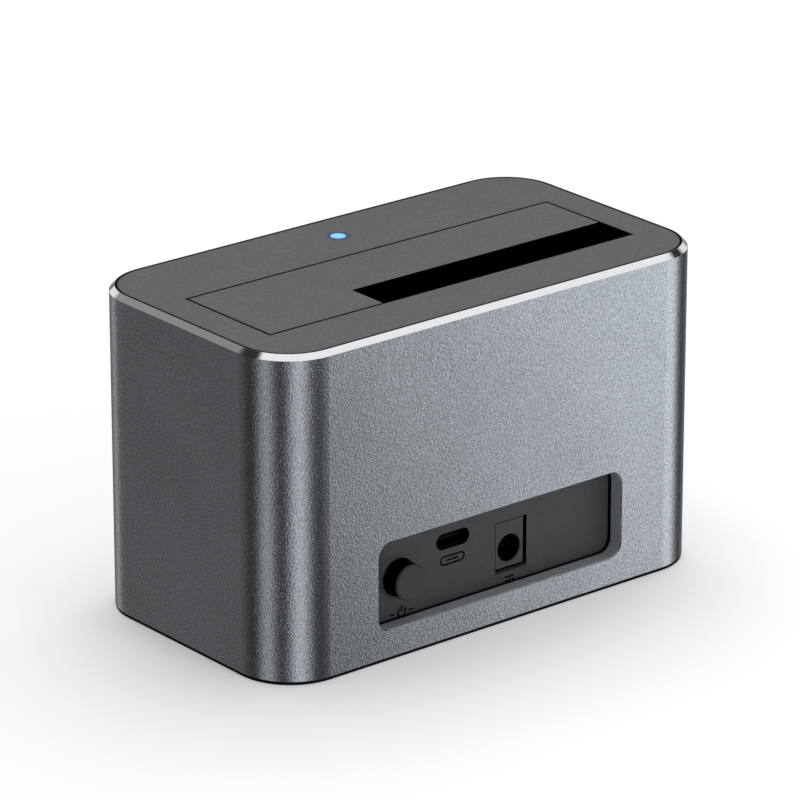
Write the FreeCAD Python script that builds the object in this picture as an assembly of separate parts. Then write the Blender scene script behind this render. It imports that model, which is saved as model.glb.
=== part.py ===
"""Single-bay desktop docking station for bare 3.5 inch and 2.5 inch SATA drives.

Millimetres, +Z up. The origin is on the table, under the middle of the case.
+X runs along the length, -Y is the side with the sockets, +Y has the light.
"""

import FreeCAD
import Part

import math
import os

# ---------------------------------------------------------------- case
CASE_HEIGHT = 76.0
END_ROOM = 4.75
SOCKET_ROOM = 10.35
LIGHT_ROOM = 14.85
CORNER_RADIUS = 13.7
SLEEVE_WALL = 3.5
TOP_CHAMFER = 1.2
LIP_LAND = 0.15
FLOOR_GAP = 0.8

# ---------------------------------------------------------------- clearances
BEZEL_GAP = 0.4
BEZEL_SINK = 0.03
BASE_GAP = 0.15
DOOR_GAP = 0.45
SLIP_GAP = 0.2
SNUG_GAP = 0.05
CLEAR_HOLE_GAP = 0.2
ROD_PRESS_GAP = 0.02
ROD_RUNNING_GAP = 0.05
SWING_GAP = 0.4
MOULDED_GAP = 0.3

# ---------------------------------------------------------------- how the solids are cut
OVERCUT = 1.0
NEARLY = 1e-4
END_FLAT = 0.02

# ---------------------------------------------------------------- drives that the bay takes
LARGE_DRIVE_WIDTH = 101.6
LARGE_DRIVE_THICKNESS = 26.1
SMALL_DRIVE_WIDTH = 69.85
SMALL_DRIVE_THICKNESS = 9.5
LARGE_DRIVE_SIDE_ROOM = 0.7
LARGE_DRIVE_THICKNESS_ROOM = 1.0
SMALL_DRIVE_WIDTH_ROOM = 2.05
SMALL_DRIVE_THICKNESS_ROOM = 1.3
PLUG_CENTRE_FROM_EDGE = 30.12
PLUG_CENTRE_FROM_FACE = 3.5

# ---------------------------------------------------------------- door and hinge
DOOR_THICKNESS = 2.0
DOOR_RIM_DEPTH = 1.0
DOOR_RIM_WIDTH = 1.2
DOOR_RIM_INSET = 0.8
DOOR_RIM_FROM_ARMS = 0.5
HINGE_SET_BACK = 1.9
ROD_RADIUS = 0.75
KNUCKLE_WALL = 0.85
ARM_FROM_END = 9.5
ARM_WIDTH = 6.0
ARM_ROOT = 4.2
LUG_WIDTH = 3.0
ROD_OVERHANG = 0.6
SPRING_WIRE = 0.5
SPRING_TURNS = 2
SPRING_PITCH = 0.62
SPRING_LEG = 4.5

# ---------------------------------------------------------------- bezel
BEZEL_THICKNESS = 2.2
BEZEL_RIB_DEPTH = 2.5
RIB_THICKNESS = 1.2
RIB_FROM_CORNER = 2.0
HOOK_FROM_END = 21.5
HOOK_WIDTH = 8.0
HOOK_THICKNESS = 1.4
HOOK_REACH = 1.3
HOOK_DROP = 6.5
CATCH_HEIGHT = 1.2
CATCH_RAMP = 1.8

# ---------------------------------------------------------------- cradle
WELL_WALL = 1.5
WELL_SET_BACK = 0.3
WELL_SHELF_GAP = 0.9
WELL_FLOOR = 1.5
POST_LENGTH_X = 9.0
POST_LENGTH_Y = 8.2
POST_FROM_END = 13.0
POST_TOP_Z = 58.0
WEB_THICKNESS = 2.0
BOARD_BOSS_FROM_END = 15.5
BOARD_BOSS_SIDE = 6.0
BOARD_BOSS_LENGTH = 12.0
PEG_SIDE = 2.0
PEG_LENGTH = 1.4

# ---------------------------------------------------------------- circuit board
BOARD_UNDERSIDE_Z = 21.8
BOARD_THICKNESS = 1.6
BOARD_TO_FLOOR = 1.6
BOARD_REAR_GAP = 5.0
BOARD_END_GAP = 6.5
BOARD_CORNER_GAP = 0.6
BOARD_PANEL_GAP = 0.4

# ---------------------------------------------------------------- socket panel and its window
WINDOW_LENGTH = 70.2
WINDOW_HEIGHT = 20.5
WINDOW_CENTRE_X = 0.5
WINDOW_CENTRE_Z = 17.45
WINDOW_RADIUS = 3.2
WINDOW_EDGE_BREAK = 0.25
PANEL_THICKNESS = 2.0
PANEL_WALL_GAP = 1.0
PANEL_OVERLAP = 2.2
PANEL_EAR_FROM_END = 13.5
PANEL_EAR_HEIGHT = 11.0
PANEL_LIP_THICKNESS = 1.6

# ---------------------------------------------------------------- power button and its switch
BUTTON_X = -25.5
BUTTON_Z = 16.65
BUTTON_RADIUS = 4.2
BUTTON_EDGE = 0.4
BUTTON_HOLE_GAP = 0.25
BUTTON_TRAVEL = 2.0
BUTTON_COLLAR_WALL = 0.6
BUTTON_COLLAR_THICKNESS = 0.9
PLUNGER_SIDE = 3.2
PLUNGER_EDGE = 0.3
PLUNGER_IN_BUTTON = 2.6
PLUNGER_IN_SWITCH = 4.0
SWITCH_SIDE = 8.5
SWITCH_EDGE = 0.5
SWITCH_LENGTH = 13.0
SWITCH_PIN_SIDE = 0.6
SWITCH_PIN_PROUD = 0.8
SWITCH_PIN_ROW_INSET = 1.6
SWITCH_FOOT_INSET = 1.5
SWITCH_FOOT_WIDTH = 1.4
SWITCH_PIN_PITCH = 2.5

# ---------------------------------------------------------------- USB-C socket
USB_X = -10.1
USB_Z = 21.6
USB_WIDTH = 8.94
USB_HEIGHT = 3.26
USB_DEPTH = 7.35
USB_SHEET = 0.3
USB_CUTOUT_GAP = 0.3
USB_SINK = 0.8
USB_TONGUE_WIDTH = 6.7
USB_TONGUE_THICKNESS = 0.7
USB_TONGUE_LENGTH = 4.6
USB_CONTACT_COUNT = 12
USB_CONTACT_PITCH = 0.5
USB_TAB = 1.0
USB_TAB_LENGTH = 1.4
USB_TAB_RISE = 0.4
USB_TONGUE_ROOT = 1.2
USB_CONTACT_WIDTH = 0.24
USB_CONTACT_SHEET = 0.1
USB_CONTACT_SET_BACK = 0.8

# ---------------------------------------------------------------- DC power jack
JACK_X = 6.3
JACK_WIDTH = 7.9
JACK_HEIGHT = 10.9
JACK_DEPTH = 14.4
JACK_FRONT = 3.3
JACK_BODY_INSET = 0.15
JACK_BORE_RADIUS = 3.2
JACK_BORE_DEPTH = 10.0
JACK_BORE_BELOW_BOARD = 6.6
JACK_MOUTH = 0.25
JACK_CUTOUT_GAP = 0.15
JACK_CUTOUT_BESIDE = 1.1
JACK_CUTOUT_BELOW = 0.45
JACK_PIN_RADIUS = 1.0
JACK_PIN_SINK = 2.2
JACK_PIN_EDGE = 0.5
JACK_PIN_TAIL = 0.6
JACK_SPRING_WIDTH = 2.4
JACK_SPRING_SHEET = 0.3
JACK_SPRING_BOW = 0.6
JACK_SPRING_FRONT = 0.5
JACK_SPRING_REAR = 1.0
JACK_SPRING_DIP = 0.5
TAIL_LENGTH = 1.5
TAIL_WIDTH = 2.8
TAIL_THICKNESS = 0.6
TAIL_PIN_INSET = 0.8
TAIL_SLEEVE_INSET = 6.5
TAIL_SIDE_INSET = 3.7
TAIL_SIDE_X = 3.2

# ---------------------------------------------------------------- SATA receptacle
SATA_LENGTH = 38.4
SATA_WIDTH = 5.6
SATA_HEIGHT = 8.4
SATA_SLOT_GAP = 0.4
SATA_BLADE_SLOT = 1.5
SATA_SLOT_DEPTH = 6.0
SATA_POWER_SLOT = 20.7
SATA_SIGNAL_SLOT = 10.5
SATA_SLOT_SPACE = 1.9
SATA_KEY = 1.3
SATA_PITCH = 1.27
SATA_POWER_COUNT = 15
SATA_SIGNAL_COUNT = 7
SATA_PIN_WIDTH = 0.6
SATA_PIN_SHEET = 0.25
SATA_PIN_SET_BACK = 1.2
SATA_LEAD_IN = 0.8

# ---------------------------------------------------------------- base and feet
BASE_THICKNESS = 2.2
BASE_SINK = 0.4
BASE_REBATE = 1.5
SKIRT_INSET = 0.5
SKIRT_WIDTH = 2.4
SKIRT_FROM_TABLE = 0.25
BASE_RIB_HEIGHT = 1.2
BASE_BOSS_HEIGHT = 3.0
BOARD_PILLAR_SIDE = 5.0
FOOT_RADIUS = 5.5

# ---------------------------------------------------------------- screws
BASE_SCREW_RADIUS = 1.5
BASE_SCREW_HEAD_RADIUS = 2.7
BASE_SCREW_HEAD = 2.0
BASE_SCREW_LENGTH = 9.0
CROSS_WIDTH = 0.7
CROSS_DEPTH = 0.8

# ---------------------------------------------------------------- light
LIGHT_FROM_REAR = 12.0
LIGHT_HEAD_RADIUS = 1.75
LIGHT_HOLE_GAP = 0.15
LIGHT_STEM_SIDE = 2.4
LIGHT_COLLAR_RADIUS = 2.6
LIGHT_COLLAR = 1.2
LIGHT_BOSS_WALL = 0.9
LED_SIZE = (3.2, 2.8, 1.2)

# ---------------------------------------------------------------- parts on the board
# Each chip is (x, length, width, height).
CHIP_ROW_FROM_SATA = 11.0
BRIDGE_CHIP = (-18.0, 8.0, 8.0, 0.9)
FLASH_CHIP = (-32.0, 5.0, 4.0, 1.0)
CRYSTAL = (-8.0, 3.2, 2.5, 0.8)
TALL_ROW_FROM_EDGE = 6.5
REGULATOR = (24.0, 6.5, 6.0, 1.6)
INDUCTORS = ((14.0, 6.6, 6.6, 3.0), (-10.0, 5.0, 5.0, 2.6))
CAPACITORS_X = (-26.0, -18.0)
CAPACITOR_RADIUS = 3.15
CAPACITOR_HEIGHT = 7.7
CAPACITOR_BASE = 1.2
INDUCTOR_CORE_EDGE = 0.5
CHIP_EDGE = 0.15
RESISTOR_SIZE = (1.6, 0.8, 0.5)
RESISTOR_COUNT = 6
RESISTOR_PITCH = 2.4
RESISTOR_START_X = -34.0
RESISTOR_ROW_FROM_CHIPS = 7.0

# ---------------------------------------------------------------- heights
SLEEVE_BOTTOM = FLOOR_GAP
BASE_LOW = SLEEVE_BOTTOM + BASE_SINK
BASE_TOP = BASE_LOW + BASE_THICKNESS
SCREW_SEAT = BASE_LOW + BASE_SCREW_HEAD + CLEAR_HOLE_GAP
BOARD_TOP = BOARD_UNDERSIDE_Z + BOARD_THICKNESS
WELL_FLOOR_LOW = BOARD_TOP + BOARD_TO_FLOOR
WELL_FLOOR_TOP = WELL_FLOOR_LOW + WELL_FLOOR
BEZEL_TOP = CASE_HEIGHT - BEZEL_SINK
BEZEL_LOW = BEZEL_TOP - BEZEL_THICKNESS
DOOR_LOW = BEZEL_TOP - DOOR_THICKNESS
KNUCKLE_RADIUS = ROD_RADIUS + ROD_RUNNING_GAP + KNUCKLE_WALL
HINGE_Z = BEZEL_LOW - MOULDED_GAP - KNUCKLE_RADIUS

# ---------------------------------------------------------------- the case, built outward from the bay
DOOR_LENGTH = LARGE_DRIVE_WIDTH + 2 * LARGE_DRIVE_SIDE_ROOM
WELL_HALF_LENGTH = DOOR_LENGTH / 2 + DOOR_GAP + WELL_SET_BACK
CASE_LENGTH = 2 * (WELL_HALF_LENGTH + WELL_WALL + END_ROOM + SLEEVE_WALL)
BAY_DEPTH = LARGE_DRIVE_THICKNESS + LARGE_DRIVE_THICKNESS_ROOM
OPEN_DOOR_SPACE = BEZEL_TOP - HINGE_Z + KNUCKLE_RADIUS + 2 * MOULDED_GAP
SOCKET_SIDE = SLEEVE_WALL + SOCKET_ROOM + WELL_WALL + WELL_SET_BACK
LIGHT_SIDE = WELL_WALL + LIGHT_ROOM + SLEEVE_WALL
CASE_WIDTH = SOCKET_SIDE + BAY_DEPTH + OPEN_DOOR_SPACE + LIGHT_SIDE
WELL_NEAR = -CASE_WIDTH / 2 + SLEEVE_WALL + SOCKET_ROOM + WELL_WALL
WELL_FAR_LOW = WELL_NEAR + WELL_SET_BACK + BAY_DEPTH
WELL_FAR_HIGH = WELL_FAR_LOW + OPEN_DOOR_SPACE

# ---------------------------------------------------------------- door
DOOR_NEAR_EDGE = WELL_NEAR + WELL_SET_BACK + DOOR_GAP
HINGE_Y = WELL_FAR_LOW + BEZEL_TOP - HINGE_Z
DOOR_FAR_EDGE = HINGE_Y - HINGE_SET_BACK
NOTCH_LENGTH = SMALL_DRIVE_WIDTH + SMALL_DRIVE_WIDTH_ROOM
NOTCH_DEPTH = SMALL_DRIVE_THICKNESS + SMALL_DRIVE_THICKNESS_ROOM
ARM_X = DOOR_LENGTH / 2 - ARM_FROM_END
WELL_SHELF_Z = HINGE_Z - (HINGE_Y - DOOR_NEAR_EDGE) - WELL_SHELF_GAP
WELL_SLOPE_Z = WELL_SHELF_Z - OPEN_DOOR_SPACE

# ---------------------------------------------------------------- places along and across the case
LIP_WIDTH = TOP_CHAMFER + LIP_LAND
NEAR_WALL_FACE = -CASE_WIDTH / 2 + SLEEVE_WALL
PANEL_FRONT = NEAR_WALL_FACE + PANEL_WALL_GAP
PANEL_BACK = PANEL_FRONT + PANEL_THICKNESS
PANEL_EAR_X = CASE_LENGTH / 2 - PANEL_EAR_FROM_END
BOARD_REAR = CASE_WIDTH / 2 - SLEEVE_WALL - BOARD_REAR_GAP
BOARD_FRONT = PANEL_BACK + BOARD_PANEL_GAP
BOARD_BOSS_X = DOOR_LENGTH / 2 - BOARD_BOSS_FROM_END
HOOK_X = DOOR_LENGTH / 2 - HOOK_FROM_END
CATCH_LOW = BEZEL_LOW - HOOK_DROP
LIGHT_Y = CASE_WIDTH / 2 - LIGHT_FROM_REAR
POST_X = CASE_LENGTH / 2 - POST_FROM_END
POST_Y = -PANEL_BACK - POST_LENGTH_Y / 2
POST_LOW = BASE_TOP + BASE_BOSS_HEIGHT
SATA_X = LARGE_DRIVE_WIDTH / 2 - PLUG_CENTRE_FROM_EDGE
SATA_Y = DOOR_NEAR_EDGE + PLUG_CENTRE_FROM_FACE
CHIP_ROW_Y = SATA_Y + CHIP_ROW_FROM_SATA
TALL_ROW_Y = BOARD_REAR - TALL_ROW_FROM_EDGE
JACK_BORE_Z = BOARD_UNDERSIDE_Z - JACK_BORE_BELOW_BOARD
BUTTON_COLLAR_FRONT = PANEL_BACK + MOULDED_GAP
BUTTON_BACK = BUTTON_COLLAR_FRONT + BUTTON_COLLAR_THICKNESS
SWITCH_FRONT = BUTTON_BACK + BUTTON_TRAVEL + SWING_GAP


# ---------------------------------------------------------------- small helpers
def point(x, y, z):
    return FreeCAD.Vector(x, y, z)


def block(x_low, x_high, y_low, y_high, z_low, z_high):
    size = (x_high - x_low, y_high - y_low, z_high - z_low)
    return Part.makeBox(*size, point(x_low, y_low, z_low))


def block_about(x, y, length, width, z_low, z_high):
    return block(x - length / 2, x + length / 2, y - width / 2, y + width / 2, z_low, z_high)


def post(x, y, radius, z_low, z_high):
    return Part.makeCylinder(radius, z_high - z_low, point(x, y, z_low))


def rod_along_y(x, z, radius, y_low, y_high):
    return Part.makeCylinder(radius, y_high - y_low, point(x, y_low, z), point(0, 1, 0))


def rod_along_x(y, z, radius, x_low, x_high):
    return Part.makeCylinder(radius, x_high - x_low, point(x_low, y, z), point(1, 0, 0))


def rounded_outline(length, width, radius):
    """A closed rounded rectangle about the origin, in the XY plane."""
    half_x = length / 2
    half_y = width / 2
    straight_x = half_x - radius
    straight_y = half_y - radius
    diagonal = radius * math.sqrt(0.5)
    edges = []
    for side_x, side_y, turn in ((1, 1, 0), (-1, 1, 1), (-1, -1, 0), (1, -1, 1)):
        on_end = point(side_x * half_x, side_y * straight_y, 0)
        on_side = point(side_x * straight_x, side_y * half_y, 0)
        middle = point(side_x * (straight_x + diagonal), side_y * (straight_y + diagonal), 0)
        start, end = (on_side, on_end) if turn else (on_end, on_side)
        edges.append(Part.Arc(start, middle, end).toShape())
    joined = []
    for index, arc in enumerate(edges):
        following = edges[(index + 1) % 4]
        joined.append(arc)
        gap_start = arc.Curve.value(arc.LastParameter)
        gap_end = following.Curve.value(following.FirstParameter)
        if gap_start.distanceToPoint(gap_end) > NEARLY:
            joined.append(Part.makeLine(gap_start, gap_end))
    return Part.Wire(Part.__sortEdges__(joined))


def rounded_slab(length, width, radius, z_low, z_high):
    """A rounded rectangle about the Z axis, standing from z_low to z_high."""
    slab = Part.Face(rounded_outline(length, width, radius)).extrude(point(0, 0, z_high - z_low))
    slab.translate(point(0, 0, z_low))
    return slab


def case_slab(inset, z_low, z_high):
    """The case's outline, moved inward by inset."""
    size = (CASE_LENGTH - 2 * inset, CASE_WIDTH - 2 * inset)
    return rounded_slab(*size, CORNER_RADIUS - inset, z_low, z_high)


def rounded_port(length, height, radius, x, z, y_low, y_high):
    """A rounded rectangle in the XZ plane, running along Y."""
    port = rounded_slab(length, height, radius, 0, y_high - y_low)
    port.rotate(point(0, 0, 0), point(1, 0, 0), 90)
    port.translate(point(x, y_high, z))
    return port


def prism_along_x(corners, x_low, x_high):
    """A closed outline of (y, z) corners, run along X."""
    path = [point(x_low, y, z) for y, z in corners]
    path.append(path[0])
    return Part.Face(Part.makePolygon(path)).extrude(point(x_high - x_low, 0, 0))


def prism_along_z(corners, z_low, z_high):
    """A closed outline of (x, y) corners, run along Z."""
    path = [point(x, y, z_low) for x, y in corners]
    path.append(path[0])
    return Part.Face(Part.makePolygon(path)).extrude(point(0, 0, z_high - z_low))


def locating_ribs(inset, z_low, z_high):
    """Four straight ribs that centre a plate in the sleeve, clear of its round corners."""
    x = CASE_LENGTH / 2 - inset
    y = CASE_WIDTH / 2 - inset
    half_x = CASE_LENGTH / 2 - CORNER_RADIUS - RIB_FROM_CORNER
    half_y = CASE_WIDTH / 2 - CORNER_RADIUS - RIB_FROM_CORNER
    ribs = []
    for side in (-1, 1):
        across = sorted((side * x, side * (x - RIB_THICKNESS)))
        along = sorted((side * y, side * (y - RIB_THICKNESS)))
        ribs.append(block(*across, -half_y, half_y, z_low, z_high))
        ribs.append(block(-half_x, half_x, *along, z_low, z_high))
    return ribs


def edges_at_height(shape, z):
    """The edges of a shape that lie wholly at one height."""
    boxes = [(edge, edge.BoundBox) for edge in shape.Edges]
    return [edge for edge, box in boxes if max(abs(box.ZMin - z), abs(box.ZMax - z)) < NEARLY]


def four_corners(x, y):
    return [(side_x * x, side_y * y) for side_x in (-1, 1) for side_y in (-1, 1)]


def screw(x, y, seat_z, radius, length, head_radius, head_height):
    """A screw driven upward, with its head below seat_z and a cross recess in the head."""
    head_low = seat_z - head_height
    body = post(x, y, radius, seat_z, seat_z + length)
    head = post(x, y, head_radius, head_low, seat_z)
    arm = head_radius
    cross = block_about(x, y, arm, CROSS_WIDTH, head_low, head_low + CROSS_DEPTH)
    cross = cross.fuse(block_about(x, y, CROSS_WIDTH, arm, head_low, head_low + CROSS_DEPTH))
    return body.fuse(head).cut(cross)


# ---------------------------------------------------------------- case
def outer_sleeve():
    sleeve = case_slab(0, SLEEVE_BOTTOM, CASE_HEIGHT)
    sleeve = sleeve.makeChamfer(TOP_CHAMFER, edges_at_height(sleeve, CASE_HEIGHT))
    sleeve = sleeve.cut(case_slab(SLEEVE_WALL, SLEEVE_BOTTOM, CASE_HEIGHT))
    sleeve = sleeve.cut(case_slab(LIP_WIDTH, BEZEL_LOW, CASE_HEIGHT))
    sleeve = sleeve.cut(case_slab(BASE_REBATE, SLEEVE_BOTTOM, BASE_TOP))
    outside = -CASE_WIDTH / 2
    size = (WINDOW_LENGTH, WINDOW_HEIGHT, WINDOW_RADIUS)
    centre = (WINDOW_CENTRE_X, WINDOW_CENTRE_Z)
    sleeve = sleeve.cut(rounded_port(*size, *centre, outside - OVERCUT, NEAR_WALL_FACE + OVERCUT))
    mouth = [e for e in sleeve.Edges if e.BoundBox.YMax - outside < NEARLY and near_window(e)]
    return sleeve.makeChamfer(WINDOW_EDGE_BREAK, mouth)


def near_window(edge):
    box = edge.BoundBox
    low = WINDOW_CENTRE_Z - WINDOW_HEIGHT / 2 - NEARLY
    high = WINDOW_CENTRE_Z + WINDOW_HEIGHT / 2 + NEARLY
    return box.ZMin > low and box.ZMax < high


def hinge_lug_positions():
    """The middle of each lug that carries the hinge rod, along X."""
    outer = ARM_X + ARM_WIDTH / 2 + SWING_GAP + LUG_WIDTH / 2
    return (-outer, 0.0, outer)


def hinge_lug(x):
    """A lug under the bezel, rounded below, bored for the rod."""
    half = LUG_WIDTH / 2
    side = KNUCKLE_RADIUS
    stem = block(x - half, x + half, HINGE_Y - side, HINGE_Y + side, HINGE_Z, BEZEL_LOW)
    lug = stem.fuse(rod_along_x(HINGE_Y, HINGE_Z, side, x - half, x + half))
    clear_of_door = DOOR_FAR_EDGE + DOOR_GAP
    lug = lug.common(block(x - half, x + half, clear_of_door, HINGE_Y + side, HINGE_Z - side, BEZEL_LOW))
    through = (x - half - OVERCUT, x + half + OVERCUT)
    return lug.cut(rod_along_x(HINGE_Y, HINGE_Z, ROD_RADIUS + ROD_PRESS_GAP, *through))


def hooked_walls():
    """Each wall of the well that hooks clip to: its outer face, and the way out from it."""
    return ((WELL_NEAR - WELL_WALL, -1), (WELL_FAR_HIGH + WELL_WALL, 1))


def snap_hook(x, face, out):
    """A springy leg under the bezel, with a barb that clips below the cradle's catch."""
    inner = face + out * (HOOK_REACH + SLIP_GAP)
    outer = inner + out * HOOK_THICKNESS
    tip = face + out * SLIP_GAP
    barb_top = CATCH_LOW - SNUG_GAP
    barb_low = barb_top - CATCH_RAMP
    outline = (
        (outer, BEZEL_LOW), (outer, barb_low), (inner, barb_low),
        (tip, barb_top), (inner, barb_top), (inner, BEZEL_LOW),
    )
    return prism_along_x(outline, x - HOOK_WIDTH / 2, x + HOOK_WIDTH / 2)


def snap_catch(x, face, out):
    """The ledge on the well's wall that holds a hook, ramped above."""
    tip = face + out * HOOK_REACH
    root = face - out * WELL_WALL
    high = CATCH_LOW + CATCH_HEIGHT
    outline = (
        (root, CATCH_LOW), (tip, CATCH_LOW), (tip, high),
        (face, high + CATCH_RAMP), (root, high + CATCH_RAMP),
    )
    half = HOOK_WIDTH / 2 + MOULDED_GAP
    return prism_along_x(outline, x - half, x + half)


def top_bezel():
    inset = LIP_WIDTH + BEZEL_GAP
    plate = case_slab(inset, BEZEL_LOW, BEZEL_TOP)
    bezel = plate.fuse(locating_ribs(SLEEVE_WALL + SLIP_GAP, BEZEL_LOW - BEZEL_RIB_DEPTH, BEZEL_LOW))
    for face, out in hooked_walls():
        bezel = bezel.fuse([snap_hook(side * HOOK_X, face, out) for side in (-1, 1)])
    collar_space = LIGHT_COLLAR_RADIUS + LIGHT_HOLE_GAP
    side = 2 * (collar_space + LIGHT_BOSS_WALL)
    boss = block_about(0, LIGHT_Y, side, side, BEZEL_LOW - 2 * LIGHT_COLLAR, BEZEL_LOW)
    bezel = bezel.fuse(boss.cut(post(0, LIGHT_Y, collar_space, BEZEL_LOW - 2 * LIGHT_COLLAR, BEZEL_LOW)))
    through = (BEZEL_LOW - OVERCUT, BEZEL_TOP + OVERCUT)
    bezel = bezel.cut(post(0, LIGHT_Y, LIGHT_HEAD_RADIUS + LIGHT_HOLE_GAP, *through))
    opening_x = DOOR_LENGTH / 2 + DOOR_GAP
    opening = (-opening_x, opening_x, DOOR_NEAR_EDGE - DOOR_GAP, DOOR_FAR_EDGE + DOOR_GAP)
    bezel = bezel.cut(block(*opening, *through))
    for x in hinge_lug_positions():
        bezel = bezel.fuse(hinge_lug(x))
    return bezel.removeSplitter()


# ---------------------------------------------------------------- door
def door_outline(inset, far, z_low, z_high):
    """The door's plan: a rectangle with the small drive's corner cut away."""
    left = -DOOR_LENGTH / 2 + inset
    right = DOOR_LENGTH / 2 - inset
    near = DOOR_NEAR_EDGE + inset
    notch_x = DOOR_LENGTH / 2 - NOTCH_LENGTH - inset
    notch_y = DOOR_NEAR_EDGE + NOTCH_DEPTH + inset
    plan = ((left, near), (notch_x, near), (notch_x, notch_y), (right, notch_y), (right, far), (left, far))
    return prism_along_z(plan, z_low, z_high)


def door_arm(x):
    """One hinge arm: a gooseneck from the door's underside to its knuckle."""
    half = ARM_WIDTH / 2
    outline = (
        (DOOR_FAR_EDGE - ARM_ROOT, DOOR_LOW),
        (DOOR_FAR_EDGE, DOOR_LOW),
        (DOOR_FAR_EDGE, HINGE_Z + KNUCKLE_RADIUS),
        (HINGE_Y, HINGE_Z + KNUCKLE_RADIUS),
        (HINGE_Y, HINGE_Z - KNUCKLE_RADIUS),
    )
    arm = prism_along_x(outline, x - half, x + half)
    arm = arm.fuse(rod_along_x(HINGE_Y, HINGE_Z, KNUCKLE_RADIUS, x - half, x + half))
    bore = ROD_RADIUS + ROD_RUNNING_GAP
    return arm.cut(rod_along_x(HINGE_Y, HINGE_Z, bore, x - half - OVERCUT, x + half + OVERCUT))


def bay_door():
    door = door_outline(0, DOOR_FAR_EDGE, DOOR_LOW, BEZEL_TOP)
    rim_low = DOOR_LOW - DOOR_RIM_DEPTH
    rim_far = DOOR_FAR_EDGE - ARM_ROOT - DOOR_RIM_FROM_ARMS
    rim = door_outline(DOOR_RIM_INSET, rim_far, rim_low, DOOR_LOW)
    rim_inside = DOOR_RIM_INSET + DOOR_RIM_WIDTH
    rim = rim.cut(door_outline(rim_inside, rim_far - DOOR_RIM_WIDTH, rim_low, DOOR_LOW))
    door = door.fuse(rim)
    for side in (-1, 1):
        door = door.fuse(door_arm(side * ARM_X))
    return door.removeSplitter()


def door_hinge_rod():
    reach = hinge_lug_positions()[-1] + LUG_WIDTH / 2 + ROD_OVERHANG
    return rod_along_x(HINGE_Y, HINGE_Z, ROD_RADIUS, -reach, reach)


def torsion_spring():
    """A coil of square wire round the rod, with a leg under the door and one by the well's wall."""
    half = SPRING_WIRE / 2
    coil_radius = KNUCKLE_RADIUS - half
    inner = coil_radius - half
    height = SPRING_PITCH * (SPRING_TURNS + 0.25)
    helix = Part.makeHelix(SPRING_PITCH, height, coil_radius)
    corners = [point(inner, 0, -half), point(KNUCKLE_RADIUS, 0, -half)]
    corners += [point(KNUCKLE_RADIUS, 0, half), point(inner, 0, half), corners[0]]
    coil = Part.Wire(helix.Edges).makePipeShell([Part.makePolygon(corners)], True, True)
    door_leg = block(inner, KNUCKLE_RADIUS, -SPRING_LEG, 0, -half, half)
    wall_leg = block(-SPRING_LEG, 0, inner, KNUCKLE_RADIUS, height - half, height + half)
    spring = coil.fuse([door_leg, wall_leg])
    spring.rotate(point(0, 0, 0), point(0, 1, 0), -90)
    beside_arm = ARM_X - ARM_WIDTH / 2 - MOULDED_GAP - half
    spring.translate(point(beside_arm, HINGE_Y, HINGE_Z))
    return spring


def door_springs():
    spring = torsion_spring()
    return Part.makeCompound([spring, spring.mirror(point(0, 0, 0), point(1, 0, 0))])


# ---------------------------------------------------------------- cradle
def well_profile(grow):
    """The bay seen from its end: narrow for the drive below, wide for the open door above."""
    near = WELL_NEAR - grow
    far_low = WELL_FAR_LOW + grow
    far_high = WELL_FAR_HIGH + grow
    floor = WELL_FLOOR_TOP - (WELL_FLOOR if grow else 0)
    return (
        (near, floor),
        (far_low, floor),
        (far_low, WELL_SLOPE_Z),
        (far_high, WELL_SHELF_Z),
        (far_high, BEZEL_LOW),
        (near, BEZEL_LOW),
    )


def cradle_post(x, y):
    """A corner post down to the base, with a web that ties a rear post to the well."""
    leg = block_about(x, y, POST_LENGTH_X, POST_LENGTH_Y, POST_LOW, POST_TOP_Z)
    leg = leg.makeChamfer(POST_LENGTH_Y / 3, edges_at_height(leg, POST_TOP_Z))
    toward = WELL_NEAR if y < 0 else WELL_FAR_LOW
    half = WEB_THICKNESS / 2
    web = block(x - half, x + half, min(y, toward), max(y, toward), WELL_FLOOR_LOW, POST_TOP_Z)
    return leg.fuse(web)


def panel_lip(side):
    """A lip on a front post that stops the panel from sliding sideways."""
    start = PANEL_EAR_X + SLIP_GAP
    x_low, x_high = sorted((side * start, side * (start + PANEL_LIP_THICKNESS)))
    return block(x_low, x_high, PANEL_FRONT + MOULDED_GAP, PANEL_BACK + OVERCUT, *panel_ear_heights())


def board_mounts():
    """Where bosses beside the well meet the board: x, y and the wall each boss grows from."""
    half = BOARD_BOSS_SIDE / 2
    rows = ((WELL_NEAR - WELL_WALL - half, WELL_NEAR), (WELL_FAR_LOW + WELL_WALL + half, WELL_FAR_LOW))
    return [(side * BOARD_BOSS_X, y, wall) for side in (-1, 1) for y, wall in rows]


def board_boss(x, y, wall):
    """A boss that the board is clamped against, with a peg that locates it."""
    half = BOARD_BOSS_SIDE / 2
    top = BOARD_TOP + BOARD_BOSS_LENGTH
    boss = block(x - half, x + half, min(y - half, wall), max(y + half, wall), BOARD_TOP, top)
    return boss.fuse(block_about(x, y, PEG_SIDE, PEG_SIDE, BOARD_TOP - PEG_LENGTH, BOARD_TOP))


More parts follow.
